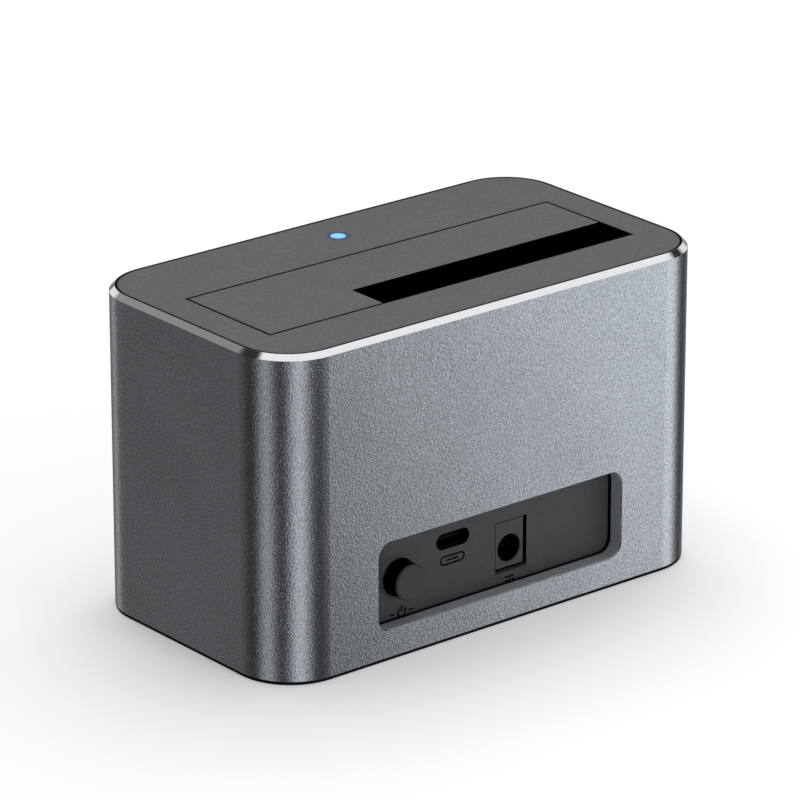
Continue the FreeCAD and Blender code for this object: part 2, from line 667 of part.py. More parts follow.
def drive_cradle():
    half = WELL_HALF_LENGTH + WELL_WALL
    cradle = prism_along_x(well_profile(WELL_WALL), -half, half)
    additions = [cradle_post(x, y) for x, y in four_corners(POST_X, POST_Y)]
    for face, out in hooked_walls():
        additions.extend(snap_catch(side * HOOK_X, face, out) for side in (-1, 1))
    additions.extend(board_boss(*place) for place in board_mounts())
    additions.extend(panel_lip(side) for side in (-1, 1))
    cradle = cradle.fuse(additions)
    slot = (SATA_LENGTH + 2 * SATA_SLOT_GAP, SATA_WIDTH + 2 * SATA_SLOT_GAP)
    cuts = [prism_along_x(well_profile(0), -WELL_HALF_LENGTH, WELL_HALF_LENGTH)]
    cuts.append(block_about(SATA_X, SATA_Y, *slot, WELL_FLOOR_LOW - OVERCUT, WELL_FLOOR_TOP + OVERCUT))
    for x, y in four_corners(POST_X, POST_Y):
        cuts.append(post(x, y, BASE_SCREW_RADIUS + SNUG_GAP, POST_LOW, POST_LOW + BASE_SCREW_LENGTH))
    return cradle.cut(cuts).removeSplitter()


# ---------------------------------------------------------------- socket panel
def port_panel():
    y_range = (PANEL_FRONT, PANEL_BACK)
    size = (WINDOW_LENGTH + 2 * PANEL_OVERLAP, WINDOW_HEIGHT + 2 * PANEL_OVERLAP, WINDOW_RADIUS)
    panel = rounded_port(*size, WINDOW_CENTRE_X, WINDOW_CENTRE_Z, *y_range)
    panel = panel.fuse(block(-PANEL_EAR_X, PANEL_EAR_X, *y_range, *panel_ear_heights()))
    through = (PANEL_FRONT - OVERCUT, PANEL_BACK + OVERCUT)
    button_hole = rod_along_y(BUTTON_X, BUTTON_Z, BUTTON_RADIUS + BUTTON_HOLE_GAP, *through)
    usb_size = (USB_WIDTH + 2 * USB_CUTOUT_GAP, USB_HEIGHT + 2 * USB_CUTOUT_GAP)
    usb_hole = rounded_port(*usb_size, (usb_size[1] - END_FLAT) / 2, USB_X, USB_Z, *through)
    jack_half = JACK_WIDTH / 2
    jack_hole = block(
        JACK_X - jack_half - JACK_CUTOUT_GAP,
        JACK_X + jack_half + JACK_CUTOUT_BESIDE,
        *through,
        BOARD_UNDERSIDE_Z - JACK_HEIGHT - JACK_CUTOUT_BELOW,
        BOARD_UNDERSIDE_Z + JACK_CUTOUT_GAP,
    )
    return panel.cut([button_hole, usb_hole, jack_hole]).removeSplitter()


def panel_ear_heights():
    return (WINDOW_CENTRE_Z - PANEL_EAR_HEIGHT / 2, WINDOW_CENTRE_Z + PANEL_EAR_HEIGHT / 2)


# ---------------------------------------------------------------- power button
def power_button():
    front = -CASE_WIDTH / 2
    cap = rod_along_y(BUTTON_X, BUTTON_Z, BUTTON_RADIUS, front, BUTTON_COLLAR_FRONT)
    rim = [e for e in cap.Edges if e.BoundBox.YMax - front < NEARLY]
    cap = cap.makeChamfer(BUTTON_EDGE, rim)
    collar_radius = BUTTON_RADIUS + BUTTON_COLLAR_WALL
    cap = cap.fuse(rod_along_y(BUTTON_X, BUTTON_Z, collar_radius, BUTTON_COLLAR_FRONT, BUTTON_BACK))
    socket = square_on_button(PLUNGER_SIDE / 2 + SNUG_GAP, BUTTON_BACK - PLUNGER_IN_BUTTON, BUTTON_BACK)
    return cap.cut(socket).removeSplitter()


def square_on_button(half, y_low, y_high):
    """A square bar on the button's axis."""
    return block(BUTTON_X - half, BUTTON_X + half, y_low, y_high, BUTTON_Z - half, BUTTON_Z + half)


def edges_along_y(shape):
    return [e for e in shape.Edges if e.BoundBox.YLength > e.BoundBox.XLength + e.BoundBox.ZLength]


def switch_plunger():
    front = BUTTON_BACK - PLUNGER_IN_BUTTON
    stem = square_on_button(PLUNGER_SIDE / 2, front, SWITCH_FRONT + PLUNGER_IN_SWITCH)
    return stem.makeChamfer(PLUNGER_EDGE, edges_along_y(stem))


def push_switch_body():
    half = SWITCH_SIDE / 2
    back = SWITCH_FRONT + SWITCH_LENGTH
    body = square_on_button(half, SWITCH_FRONT, back)
    body = body.makeChamfer(SWITCH_EDGE, edges_along_y(body))
    for y in (SWITCH_FRONT + SWITCH_FOOT_INSET, back - SWITCH_FOOT_INSET):
        foot = (BUTTON_X, y, SWITCH_SIDE - 2 * SWITCH_EDGE, SWITCH_FOOT_WIDTH)
        body = body.fuse(block_about(*foot, BUTTON_Z, BOARD_UNDERSIDE_Z))
    end = SWITCH_FRONT + PLUNGER_IN_SWITCH + BUTTON_TRAVEL + SWING_GAP
    bore = square_on_button(PLUNGER_SIDE / 2 + MOULDED_GAP, SWITCH_FRONT - OVERCUT, end)
    return body.cut(bore).removeSplitter()


def switch_pin_places():
    middle = SWITCH_FRONT + SWITCH_LENGTH / 2
    half = SWITCH_SIDE / 2 - SWITCH_PIN_ROW_INSET
    columns = (BUTTON_X - half, BUTTON_X + half)
    return [(x, middle + step * SWITCH_PIN_PITCH) for x in columns for step in (-1, 0, 1)]


def switch_pins():
    low = BUTTON_Z + SWITCH_SIDE / 2
    size = (SWITCH_PIN_SIDE, SWITCH_PIN_SIDE)
    pins = [block_about(x, y, *size, low, BOARD_TOP + SWITCH_PIN_PROUD) for x, y in switch_pin_places()]
    return Part.makeCompound(pins)


# ---------------------------------------------------------------- USB-C socket
def usb_range():
    front = PANEL_FRONT + USB_SINK
    return (front, front + USB_DEPTH)


def usb_profile(shrink):
    return (USB_WIDTH - 2 * shrink, USB_HEIGHT - 2 * shrink, (USB_HEIGHT - END_FLAT) / 2 - shrink)


def usb_tab_middle():
    return usb_range()[1] - USB_DEPTH / 2


def usb_c_shell():
    front, back = usb_range()
    shell = rounded_port(*usb_profile(0), USB_X, USB_Z, front, back)
    shell = shell.cut(rounded_port(*usb_profile(USB_SHEET), USB_X, USB_Z, front - OVERCUT, back - USB_SHEET))
    for side in (-1, 1):
        root = USB_X + side * (USB_WIDTH / 2 - USB_SHEET / 2)
        tip = USB_X + side * (USB_WIDTH / 2 + USB_TAB)
        middle = usb_tab_middle()
        y_range = (middle - USB_TAB_LENGTH / 2, middle + USB_TAB_LENGTH / 2)
        under = USB_Z - USB_SHEET / 2
        arm = block(min(root, tip), max(root, tip), *y_range, under, under + USB_SHEET)
        bend = tip - side * USB_SHEET
        foot = block(min(bend, tip), max(bend, tip), *y_range, under, BOARD_TOP + USB_TAB_RISE)
        shell = shell.fuse([arm, foot])
    return shell.removeSplitter()


def tongue_root():
    """Where the tongue grows out of its root, along Y."""
    return usb_range()[1] - USB_SHEET - USB_TONGUE_ROOT


def usb_c_tongue():
    root = tongue_root()
    base = rounded_port(*usb_profile(USB_SHEET + SNUG_GAP), USB_X, USB_Z, root, root + USB_TONGUE_ROOT)
    low = USB_Z - USB_TONGUE_THICKNESS / 2
    plan = (USB_X, root - USB_TONGUE_LENGTH / 2, USB_TONGUE_WIDTH, USB_TONGUE_LENGTH)
    tongue = block_about(*plan, low, low + USB_TONGUE_THICKNESS)
    return base.fuse(tongue).removeSplitter()


def usb_c_contacts():
    y_range = (tongue_root() - USB_TONGUE_LENGTH + USB_CONTACT_SET_BACK, tongue_root())
    half = USB_CONTACT_WIDTH / 2
    contacts = []
    for index in range(USB_CONTACT_COUNT):
        x = USB_X + (index - (USB_CONTACT_COUNT - 1) / 2) * USB_CONTACT_PITCH
        for side in (-1, 1):
            face = USB_Z + side * USB_TONGUE_THICKNESS / 2
            z_range = sorted((face, face + side * USB_CONTACT_SHEET))
            contacts.append(block(x - half, x + half, *y_range, *z_range))
    return Part.makeCompound(contacts)


# ---------------------------------------------------------------- DC jack
def jack_range():
    return (PANEL_FRONT, PANEL_FRONT + JACK_DEPTH)


def dc_jack_housing():
    """A square front, then a body rounded on the side away from the board."""
    front, back = jack_range()
    half = JACK_WIDTH / 2
    low = BOARD_UNDERSIDE_Z - JACK_HEIGHT
    face = block(JACK_X - half, JACK_X + half, front, front + JACK_FRONT, low, BOARD_UNDERSIDE_Z)
    barrel_radius = half - JACK_BODY_INSET
    barrel = rod_along_y(JACK_X, JACK_BORE_Z, barrel_radius, front + JACK_FRONT, back)
    sides = (JACK_X - barrel_radius, JACK_X + barrel_radius)
    upper = block(*sides, front + JACK_FRONT, back, JACK_BORE_Z, BOARD_UNDERSIDE_Z)
    housing = face.fuse([barrel, upper])
    bore = rod_along_y(JACK_X, JACK_BORE_Z, JACK_BORE_RADIUS, front - OVERCUT, front + JACK_BORE_DEPTH)
    flare = JACK_BORE_RADIUS + JACK_MOUTH
    start = point(JACK_X, front, JACK_BORE_Z)
    mouth = Part.makeCone(flare, JACK_BORE_RADIUS, JACK_MOUTH, start, point(0, 1, 0))
    pin_seat = rod_along_y(JACK_X, JACK_BORE_Z, JACK_PIN_RADIUS, front, back + OVERCUT)
    spring_slot = block(*jack_spring_box(JACK_SPRING_SHEET / 2))
    return housing.cut([bore, mouth, pin_seat, spring_slot]).removeSplitter()


def jack_spring_box(grow):
    """The slot in the roof of the bore where the sleeve contact lies."""
    front, back = jack_range()
    half = JACK_SPRING_WIDTH / 2 + grow
    y_range = (front + JACK_FRONT + JACK_SPRING_FRONT - grow, back - JACK_SPRING_REAR + grow)
    z_low = JACK_BORE_Z + JACK_BORE_RADIUS - JACK_SPRING_DIP
    z_high = z_low + JACK_SPRING_BOW + JACK_SPRING_SHEET
    return (JACK_X - half, JACK_X + half, *y_range, z_low - grow, z_high + grow)


def dc_jack_pin():
    front, back = jack_range()
    tip = front + JACK_PIN_SINK
    pin = rod_along_y(JACK_X, JACK_BORE_Z, JACK_PIN_RADIUS, tip, back + JACK_PIN_TAIL)
    return pin.makeChamfer(JACK_PIN_EDGE, [e for e in pin.Edges if e.BoundBox.YMax - tip < NEARLY])


def jack_tail_places():
    """Middle of each solder tail, with its length along X and along Y."""
    back = jack_range()[1]
    return [
        (JACK_X, back - TAIL_PIN_INSET, TAIL_WIDTH, TAIL_THICKNESS),
        (JACK_X, back - TAIL_SLEEVE_INSET, TAIL_WIDTH, TAIL_THICKNESS),
        (JACK_X + TAIL_SIDE_X, back - TAIL_SIDE_INSET, TAIL_THICKNESS, TAIL_WIDTH),
    ]


def dc_jack_tails():
    tails = []
    for x, y, length, width in jack_tail_places():
        tails.append(block_about(x, y, length, width, BOARD_UNDERSIDE_Z, BOARD_UNDERSIDE_Z + TAIL_LENGTH))
    return Part.makeCompound(tails)


def dc_jack_spring():
    """The leaf that touches the plug's barrel, bowed into the bore."""
    x_low, x_high, y_low, y_high, z_low, z_high = jack_spring_box(0)
    sheet = JACK_SPRING_SHEET
    middle = (y_low + y_high) / 2
    outline = (
        (y_low, z_high - sheet), (middle, z_low), (y_high, z_high - sheet),
        (y_high, z_high), (middle, z_low + sheet), (y_low, z_high),
    )
    return prism_along_x(outline, x_low, x_high)


# ---------------------------------------------------------------- circuit board
def main_pcb():
    """The board: notched round the posts, with holes for pegs, pins and the sunk USB-C socket."""
    end = CASE_LENGTH / 2 - SLEEVE_WALL - BOARD_END_GAP
    corner_x = POST_X - POST_LENGTH_X / 2 - BOARD_CORNER_GAP
    corner_y = POST_Y - POST_LENGTH_Y / 2 - BOARD_CORNER_GAP
    plan = (
        (-corner_x, BOARD_FRONT), (corner_x, BOARD_FRONT), (corner_x, -corner_y), (end, -corner_y),
        (end, corner_y), (corner_x, corner_y), (corner_x, BOARD_REAR), (-corner_x, BOARD_REAR),
        (-corner_x, corner_y), (-end, corner_y), (-end, -corner_y), (-corner_x, -corner_y),
    )
    board = prism_along_z(plan, BOARD_UNDERSIDE_Z, BOARD_TOP)
    through = (BOARD_UNDERSIDE_Z - OVERCUT, BOARD_TOP + OVERCUT)
    half = USB_WIDTH / 2 + SLIP_GAP
    cuts = [block(USB_X - half, USB_X + half, BOARD_FRONT - OVERCUT, usb_range()[1] + SLIP_GAP, *through)]
    tab_reach = USB_WIDTH / 2 + USB_TAB + SLIP_GAP
    tab_half = USB_TAB_LENGTH / 2 + SLIP_GAP
    middle = usb_tab_middle()
    cuts.append(block(USB_X - tab_reach, USB_X + tab_reach, middle - tab_half, middle + tab_half, *through))
    peg_hole = (PEG_SIDE + CLEAR_HOLE_GAP, PEG_SIDE + CLEAR_HOLE_GAP)
    for x, y, _ in board_mounts():
        cuts.append(block_about(x, y, *peg_hole, *through))
    pin_hole = (SWITCH_PIN_SIDE + CLEAR_HOLE_GAP, SWITCH_PIN_SIDE + CLEAR_HOLE_GAP)
    for x, y in switch_pin_places():
        cuts.append(block_about(x, y, *pin_hole, *through))
    for x, y, length, width in jack_tail_places():
        cuts.append(block_about(x, y, length + CLEAR_HOLE_GAP, width + CLEAR_HOLE_GAP, *through))
    return board.cut(cuts)


def chip(spec, y):
    x, length, width, height = spec
    body = block_about(x, y, length, width, BOARD_TOP, BOARD_TOP + height)
    return body.makeChamfer(CHIP_EDGE, edges_at_height(body, BOARD_TOP + height))


def bridge_chip():
    return chip(BRIDGE_CHIP, CHIP_ROW_Y)


def flash_chip():
    return chip(FLASH_CHIP, CHIP_ROW_Y)


def clock_crystal():
    return chip(CRYSTAL, CHIP_ROW_Y)


def voltage_regulator():
    return chip(REGULATOR, TALL_ROW_Y)


def power_inductors():
    inductors = []
    for x, length, width, height in INDUCTORS:
        body = block_about(x, TALL_ROW_Y, length, width, BOARD_TOP, BOARD_TOP + height)
        upright = [e for e in body.Edges if e.BoundBox.ZLength > height / 2]
        inductors.append(body.makeChamfer(INDUCTOR_CORE_EDGE, upright))
    return Part.makeCompound(inductors)


def electrolytic_capacitors():
    """Round cans on square bases."""
    cans = []
    for x in CAPACITORS_X:
        side = 2 * CAPACITOR_RADIUS
        top = BOARD_TOP + CAPACITOR_HEIGHT
        foot = block_about(x, TALL_ROW_Y, side, side, BOARD_TOP, BOARD_TOP + CAPACITOR_BASE)
        can = post(x, TALL_ROW_Y, CAPACITOR_RADIUS, BOARD_TOP + CAPACITOR_BASE, top)
        cans.append(foot.fuse(can))
    return Part.makeCompound(cans)


def chip_resistors():
    length, width, height = RESISTOR_SIZE
    y = CHIP_ROW_Y - RESISTOR_ROW_FROM_CHIPS
    row = []
    for index in range(RESISTOR_COUNT):
        x = RESISTOR_START_X + index * RESISTOR_PITCH
        row.append(block_about(x, y, width, length, BOARD_TOP, BOARD_TOP + height))
    return Part.makeCompound(row)


def status_led():
    length, width, height = LED_SIZE
    return block_about(0, LIGHT_Y, length, width, BOARD_TOP, BOARD_TOP + height)


def led_light_pipe():
    """A clear rod from the board's light up to the bezel, hung on a collar."""
    low = BOARD_TOP + LED_SIZE[2] + MOULDED_GAP
    stem = block_about(0, LIGHT_Y, LIGHT_STEM_SIDE, LIGHT_STEM_SIDE, low, BEZEL_LOW)
    collar = post(0, LIGHT_Y, LIGHT_COLLAR_RADIUS, BEZEL_LOW - LIGHT_COLLAR, BEZEL_LOW)
    head = post(0, LIGHT_Y, LIGHT_HEAD_RADIUS, BEZEL_LOW, BEZEL_TOP)
    return stem.fuse([collar, head]).removeSplitter()


# ---------------------------------------------------------------- SATA receptacle
def sata_slots():
    """Start and end of the power slot and of the signal slot, along X."""
    start = SATA_X - (SATA_POWER_SLOT + SATA_SLOT_SPACE + SATA_SIGNAL_SLOT) / 2
    power = (start, start + SATA_POWER_SLOT)
    signal_start = power[1] + SATA_SLOT_SPACE
    return power, (signal_start, signal_start + SATA_SIGNAL_SLOT)


def sata_receptacle():
    """A tall insulator with two L-shaped slots, chamfered to lead the drive's plug in."""
    top = BOARD_TOP + SATA_HEIGHT
    housing = block_about(SATA_X, SATA_Y, SATA_LENGTH, SATA_WIDTH, BOARD_TOP, top)
    housing = housing.makeChamfer(SATA_LEAD_IN, edges_at_height(housing, top))
    half = SATA_BLADE_SLOT / 2
    low = top - SATA_SLOT_DEPTH
    cuts = []
    for start, end in sata_slots():
        cuts.append(block(start, end, SATA_Y - half, SATA_Y + half, low, top + OVERCUT))
        cuts.append(block(end - half * 2, end, SATA_Y - half - SATA_KEY, SATA_Y + half, low, top + OVERCUT))
    return housing.cut(cuts).removeSplitter()


def sata_contacts():
    """Flat springs along the far wall of each slot."""
    face = SATA_Y + SATA_BLADE_SLOT / 2
    low = BOARD_TOP + SATA_HEIGHT - SATA_SLOT_DEPTH
    high = BOARD_TOP + SATA_HEIGHT - SATA_PIN_SET_BACK
    contacts = []
    for (start, end), count in zip(sata_slots(), (SATA_POWER_COUNT, SATA_SIGNAL_COUNT)):
        first = (start + end - (count - 1) * SATA_PITCH) / 2
        for index in range(count):
            x = first + index * SATA_PITCH
            half = SATA_PIN_WIDTH / 2
            contacts.append(block(x - half, x + half, face - SATA_PIN_SHEET, face, low, high))
    return Part.makeCompound(contacts)


# ---------------------------------------------------------------- base
def base_plate():
    """The floor and its skirt, with bosses under the posts and pillars that carry the board."""
    plate = case_slab(BASE_REBATE + BASE_GAP, SKIRT_FROM_TABLE, BASE_TOP)
    plate = plate.fuse(case_slab(SKIRT_INSET, SKIRT_FROM_TABLE, SLEEVE_BOTTOM - SNUG_GAP))
    plate = plate.cut(case_slab(SKIRT_INSET + SKIRT_WIDTH, SKIRT_FROM_TABLE, BASE_LOW))
    plate = plate.fuse(locating_ribs(SLEEVE_WALL + SLIP_GAP, BASE_TOP, BASE_TOP + BASE_RIB_HEIGHT))
    for x, y in four_corners(POST_X, POST_Y):
        plate = plate.fuse(block_about(x, y, POST_LENGTH_X, POST_LENGTH_Y, BASE_TOP, POST_LOW))
    side = BOARD_PILLAR_SIDE
    for x, y, _ in board_mounts():
        plate = plate.fuse(block_about(x, y, side, side, BASE_TOP, BOARD_UNDERSIDE_Z))
    cuts = []
    for x, y in four_corners(POST_X, POST_Y):
        cuts.append(post(x, y, BASE_SCREW_HEAD_RADIUS + CLEAR_HOLE_GAP, BASE_LOW - OVERCUT, SCREW_SEAT))
        cuts.append(post(x, y, BASE_SCREW_RADIUS + CLEAR_HOLE_GAP, BASE_LOW, POST_LOW + OVERCUT))
    return plate.cut(cuts).removeSplitter()


def base_screws():
    sizes = (BASE_SCREW_RADIUS, BASE_SCREW_LENGTH, BASE_SCREW_HEAD_RADIUS, BASE_SCREW_HEAD)
    return Part.makeCompound([screw(x, y, SCREW_SEAT, *sizes) for x, y in four_corners(POST_X, POST_Y)])


def rubber_feet():
    return Part.makeCompound([post(x, y, FOOT_RADIUS, 0, BASE_LOW) for x, y in four_corners(POST_X, POST_Y)])


# ---------------------------------------------------------------- every piece, by name
PIECES = {
    "outer_sleeve": outer_sleeve,
    "top_bezel": top_bezel,
    "bay_door": bay_door,
    "door_hinge_rod": door_hinge_rod,
    "door_springs": door_springs,
    "drive_cradle": drive_cradle,
    "sata_receptacle": sata_receptacle,
    "sata_contacts": sata_contacts,
    "main_pcb": main_pcb,
    "bridge_chip": bridge_chip,
    "flash_chip": flash_chip,
    "clock_crystal": clock_crystal,
    "voltage_regulator": voltage_regulator,
    "power_inductors": power_inductors,
    "electrolytic_capacitors": electrolytic_capacitors,
    "chip_resistors": chip_resistors,
    "status_led": status_led,
    "led_light_pipe": led_light_pipe,
    "port_panel": port_panel,
    "power_button": power_button,
    "switch_plunger": switch_plunger,
    "push_switch_body": push_switch_body,
    "switch_pins": switch_pins,
    "usb_c_shell": usb_c_shell,
    "usb_c_tongue": usb_c_tongue,
    "usb_c_contacts": usb_c_contacts,
    "dc_jack_housing": dc_jack_housing,
    "dc_jack_pin": dc_jack_pin,
    "dc_jack_spring": dc_jack_spring,
    "dc_jack_tails": dc_jack_tails,
    "base_plate": base_plate,
    "base_screws": base_screws,
    "rubber_feet": rubber_feet,
}

os.makedirs("parts", exist_ok=True)
for name, make in PIECES.items():
    make().exportStep("parts/" + name + ".step")
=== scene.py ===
import math

import bmesh
import bpy
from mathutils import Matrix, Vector


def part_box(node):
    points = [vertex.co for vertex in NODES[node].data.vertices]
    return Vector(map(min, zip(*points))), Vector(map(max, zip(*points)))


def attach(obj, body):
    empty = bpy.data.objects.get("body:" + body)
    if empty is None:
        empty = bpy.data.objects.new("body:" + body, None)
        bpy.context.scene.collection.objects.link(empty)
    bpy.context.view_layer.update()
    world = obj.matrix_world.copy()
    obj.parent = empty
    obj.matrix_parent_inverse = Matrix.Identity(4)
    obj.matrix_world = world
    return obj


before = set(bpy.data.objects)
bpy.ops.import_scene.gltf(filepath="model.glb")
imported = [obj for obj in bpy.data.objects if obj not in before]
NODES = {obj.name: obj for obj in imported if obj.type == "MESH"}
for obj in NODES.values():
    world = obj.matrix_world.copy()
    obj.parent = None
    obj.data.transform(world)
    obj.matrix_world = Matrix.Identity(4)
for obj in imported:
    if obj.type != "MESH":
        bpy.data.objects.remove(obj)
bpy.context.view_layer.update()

MM = 0.001

CASE_LOW, CASE_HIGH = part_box("outer_sleeve")
PANEL_LOW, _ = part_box("port_panel")

# ---------------------------------------------------------------- signs: places as x, z
SIGN_PROUD = 0.02 * MM
SIGN_STROKE = 0.48 * MM
POWER_SIGN = (-24.66 * MM, 8.07 * MM)
USB_SIGN = (-10.2 * MM, 16.97 * MM)
DC_SIGN = (6.47 * MM, 7.87 * MM)

# ---------------------------------------------------------------- painted shade at edges
# How far each painted shade at an edge reaches, and the painted glow round the light. SOFT is how wide
# it fades. The window is its corners, as x, z.
NEAR_BLACK = (0.001, 0.001, 0.001, 1.0)
SOFT = 0.12 * MM
DOOR_GAP = 0.45 * MM
DOOR_SEAM = 0.47 * MM
BEZEL_EDGE = 0.22 * MM
LED_HALO = 0.28 * MM
CORNER_RADIUS = 13.7 * MM
WINDOW = ((-34.6 * MM, 7.2 * MM), (35.6 * MM, 27.7 * MM))
WINDOW_RADIUS = 3.2 * MM
JACK_SHADOW = 1.1 * MM
JACK_BESIDE = 1.1 * MM
UNDER_CASE = 0.35 * MM

# ---------------------------------------------------------------- where finishes and painted shade change
# Depths below the top, a reach along x, and how far a face turns: its normal's z, or its y. Faces in the
# sleeve's gap and faces turned away are painted in shade, keeping a small fraction of their colour.
CHAMFER_DEPTH = 2 * MM
GAP_DEPTH = 4 * MM
WINDOW_REACH = 40 * MM
FLAT = 0.9
CHAMFER_TILT = 0.35
SIDEWAYS = 0.6
PAINTED_SHADE_TINT = 0.02
SHARP_ANGLE = 28

# ---------------------------------------------------------------- the light, from its edge to its middle
LIGHT_EDGE = (0.03, 0.12, 0.32, 1.0)
LIGHT_MIDDLE = (0.14, 0.50, 0.76, 1.0)
LIGHT_LIT = (0.15, 0.48, 0.80, 1.0)
# LIGHT_HALO is a painted blue glow of the light on the bezel round its hole.
LIGHT_HALO = (0.015, 0.05, 0.13, 1.0)
LIGHT_STRENGTH = 0.30
LIGHT_CORE = 0.62

# ---------------------------------------------------------------- camera and studio
LENS = 238.94
CAMERA_PLACE = (-0.70584, -0.85880, 0.46688)
CAMERA_YAW = 39.397
CAMERA_PITCH = 20.869
FLOOR_RADIUS = 8.0
FLOOR_COLOUR = (0.92, 0.92, 0.92)
FLOOR_LIFT = 0.12
DIM = 0.10
# Each lamp is its place, the point that it faces, the side of its square and its power.
LAMPS = {"overhead": ((0.20, 0.22, 1.05), (0, 0, 0.04), 1.1, 8.3),
         "front": ((0.04, -0.55, 0.12), (0, -0.03, 0.03), 0.14, 0.85)}
# The studio that the metal mirrors. Each soft box is its azimuth from +X and half width, in
# degrees, and its brightness. The high ones have a lowest and a highest elevation too.
LOW_BOXES = ((45, 25, 0.35), (95, 7, 1.25), (127, 12, 0.40), (188, 11, 1.40), (249, 15, 1.95))
HIGH_BOXES = ((248, 95, 30, 90, 1.0), (105, 13, 25, 60, 0.33), (52, 48, 3, 26, 0.9))
HIGH_DIM = 0.03
AMBIENT = 0.45
BOX_EDGE = 9
HORIZON = 1.5
# A wide light card at the front right, near enough for its edge to spread over the socket side.
CARD_AZIMUTH = 311
CARD_DISTANCE = 0.38
CARD_LEVELS = (0.10, 2.8)
CARD_SIDES = (-0.28, 0.40)
CARD_HEIGHTS = (-0.42, 0.10)
CARD_RISE = (-0.124, 0.088)
CARD_FALL = (0.25, 0.14)
CARD_LEAN = 0.5
CARD_MIDDLE = -0.11


def middle(low, high):
    return (Vector(low) + Vector(high)) / 2


def add_camera():
    camera = bpy.data.objects.new("camera", bpy.data.cameras.new("camera"))
    camera.data.lens = LENS
    camera.location = CAMERA_PLACE
    yaw, pitch = math.radians(CAMERA_YAW), math.radians(CAMERA_PITCH)
    level = math.cos(pitch)
    ahead = Vector((math.sin(yaw) * level, math.cos(yaw) * level, -math.sin(pitch)))
    camera.rotation_euler = ahead.to_track_quat("-Z", "Y").to_euler()
    bpy.context.scene.collection.objects.link(camera)
    bpy.context.scene.camera = camera


def add_lamps():
    """Square area lamps, out of the camera's sight."""
    for name, (place, aim, side, power) in LAMPS.items():
        data = bpy.data.lights.new(name, "AREA")
        data.size = side
        data.energy = power
        lamp = bpy.data.objects.new(name, data)
        lamp.location = place
        toward = Vector(aim) - Vector(place)
        lamp.rotation_euler = toward.to_track_quat("-Z", "Y").to_euler()
        lamp.visible_camera = False
        bpy.context.scene.collection.objects.link(lamp)


# ---------------------------------------------------------------- building materials
class Tree:
    """A node tree being built."""

    def __init__(self, tree):
        self.tree = tree

    def node(self, kind, settings=None, **inputs):
        made = self.tree.nodes.new(kind)
        for name, value in (settings or {}).items():
            setattr(made, name, value)
        for name, value in inputs.items():
            self.feed(made.inputs[name.replace("_", " ")], value)
        return made

    def feed(self, socket, value):
        if isinstance(value, bpy.types.NodeSocket):
            self.tree.links.new(value, socket)
        else:
            socket.default_value = value

    def spread(self, value, low, high, start=0.0, end=1.0):
        """value, from start to end, laid out from low to high."""
        made = self.node("ShaderNodeMapRange", Value=value, From_Min=start, From_Max=end,
                         To_Min=low, To_Max=high)
        return made.outputs["Result"]

    def math(self, operation, first, second=0.0):
        made = self.node("ShaderNodeMath", {"operation": operation})
        self.feed(made.inputs[0], first)
        self.feed(made.inputs[1], second)
        return made.outputs[0]

    def between(self, amount, first, second):
        """Two colours mixed by amount."""
        made = self.node("ShaderNodeMix", {"data_type": "RGBA"})
        self.feed(made.inputs[0], amount)
        self.feed(made.inputs[6], first)
        self.feed(made.inputs[7], second)
        return made.outputs[2]

    def bump(self, height, depth, strength):
        made = self.node("ShaderNodeBump", Height=height, Distance=depth, Strength=strength)
        return made.outputs["Normal"]

    def split(self, vector):
        made = self.node("ShaderNodeSeparateXYZ", Vector=vector)
        return made.outputs


class Recipe(Tree):
    """A material being built: its nodes, and the shader that they feed."""

    def __init__(self, name, **shader_values):
        self.material = bpy.data.materials.new(name)
        self.material.use_nodes = True
        super().__init__(self.material.node_tree)
        self.shader = self.tree.nodes["Principled BSDF"]
        self.where = self.node("ShaderNodeTexCoord").outputs["Object"]
        for socket, value in shader_values.items():
            self.shader.inputs[socket.replace("_", " ")].default_value = value

    def noise(self, size, detail=2.0, roughness=0.5):
        """Noise from 0 to 1 whose grains are about size metres across."""
        made = self.node("ShaderNodeTexNoise", Vector=self.where, Scale=1.0 / size,
                         Detail=detail, Roughness=roughness)
        return made.outputs["Fac"]

    def facing(self):
        """Which way the surface faces, as x, y and z."""
        return self.split(self.node("ShaderNodeNewGeometry").outputs["Normal"])

    def outside(self, across, up, low, high, radius=0.0):
        """How far across, up lies outside a rectangle with round corners. Inside it is below 0."""
        past = []
        for value, start, end in ((across, low[0], high[0]), (up, low[1], high[1])):
            off = self.math("ABSOLUTE", self.math("SUBTRACT", value, (start + end) / 2))
            past.append(self.math("SUBTRACT", off, (end - start) / 2 - radius))
        squares = [self.math("POWER", self.math("MAXIMUM", value, 0.0), 2.0) for value in past]
        corner = self.math("SQRT", self.math("ADD", *squares))
        inside = self.math("MINIMUM", self.math("MAXIMUM", *past), 0.0)
        return self.math("SUBTRACT", self.math("ADD", corner, inside), radius)

    def colour(self, value):
        self.feed(self.shader.inputs["Base Color"], value)

    def rough(self, value):
        self.feed(self.shader.inputs["Roughness"], value)

    def normal(self, value):
        self.feed(self.shader.inputs["Normal"], value)


def shade(colour, factor):
    """A colour times a factor, as red, green, blue and alpha."""
    return (colour[0] * factor, colour[1] * factor, colour[2] * factor, 1.0)


